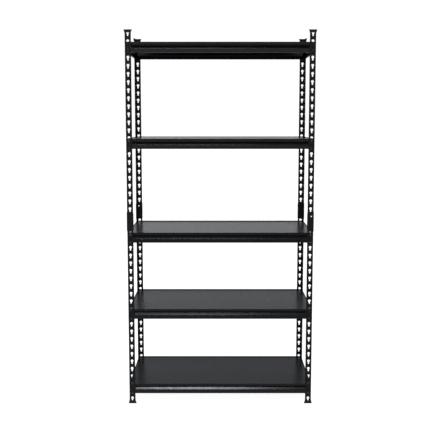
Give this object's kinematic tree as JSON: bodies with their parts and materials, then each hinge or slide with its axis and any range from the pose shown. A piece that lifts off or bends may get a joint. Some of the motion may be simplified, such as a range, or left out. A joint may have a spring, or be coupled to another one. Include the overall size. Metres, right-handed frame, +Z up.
{
  "type": "boltless steel shelving",
  "caption": "Free-standing boltless rack: angle posts with keyholes, riveted beams that hook into them and loose boards.",
  "frame": {"origin": "centre of the footprint, on the floor under the feet", "axes": "+Z up, +X along the width to the right seen from the front, +Y to the rear; the front faces -Y"},
  "size_m": [0.9138, 0.4078, 1.8328],
  "materials": {
    "post_steel": "satin black powder coat",
    "sleeve_steel": "satin black powder coat",
    "beam_steel": "semi-gloss black powder coat",
    "board_laminate": "satin black laminate",
    "end_plastic": "matt black moulding"
  },
  "bodies": {
    "frame": {"post_lower_front_left": "post_steel", "post_lower_front_right": "post_steel", "post_lower_rear_right": "post_steel", "post_lower_rear_left": "post_steel", "post_upper_front_left": "post_steel", "post_upper_front_right": "post_steel", "post_upper_rear_right": "post_steel", "post_upper_rear_left": "post_steel", "splice_sleeve_front_left": "sleeve_steel", "splice_sleeve_front_right": "sleeve_steel", "splice_sleeve_rear_right": "sleeve_steel", "splice_sleeve_rear_left": "sleeve_steel", "foot_front_left": "end_plastic", "foot_front_right": "end_plastic", "foot_rear_right": "end_plastic", "foot_rear_left": "end_plastic", "top_cap_front_left": "end_plastic", "top_cap_front_right": "end_plastic", "top_cap_rear_right": "end_plastic", "top_cap_rear_left": "end_plastic", "beam_front_1": "beam_steel", "beam_rear_1": "beam_steel", "beam_left_1": "beam_steel", "beam_right_1": "beam_steel", "beam_front_2": "beam_steel", "beam_rear_2": "beam_steel", "beam_left_2": "beam_steel", "beam_right_2": "beam_steel", "beam_front_3": "beam_steel", "beam_rear_3": "beam_steel", "beam_left_3": "beam_steel", "beam_right_3": "beam_steel", "beam_front_4": "beam_steel", "beam_rear_4": "beam_steel", "beam_left_4": "beam_steel", "beam_right_4": "beam_steel", "beam_front_5": "beam_steel", "beam_rear_5": "beam_steel", "beam_left_5": "beam_steel", "beam_right_5": "beam_steel"},
    "board_1": {"board_1": "board_laminate"},
    "board_2": {"board_2": "board_laminate"},
    "board_3": {"board_3": "board_laminate"},
    "board_4": {"board_4": "board_laminate"},
    "board_5": {"board_5": "board_laminate"}
  },
  "joints": [
    {"name": "board_1_lift", "type": "slide", "parent": "frame", "child": "board_1", "axis": [0, 0, 1], "range_m": [0, 0.1]},
    {"name": "board_2_lift", "type": "slide", "parent": "frame", "child": "board_2", "axis": [0, 0, 1], "range_m": [0, 0.3998]},
    {"name": "board_3_lift", "type": "slide", "parent": "frame", "child": "board_3", "axis": [0, 0, 1], "range_m": [0, 0.3998]},
    {"name": "board_4_lift", "type": "slide", "parent": "frame", "child": "board_4", "axis": [0, 0, 1], "range_m": [0, 0.3236]},
    {"name": "board_5_lift", "type": "slide", "parent": "frame", "child": "board_5", "axis": [0, 0, 1], "range_m": [0, 0.3236]}
  ]
}
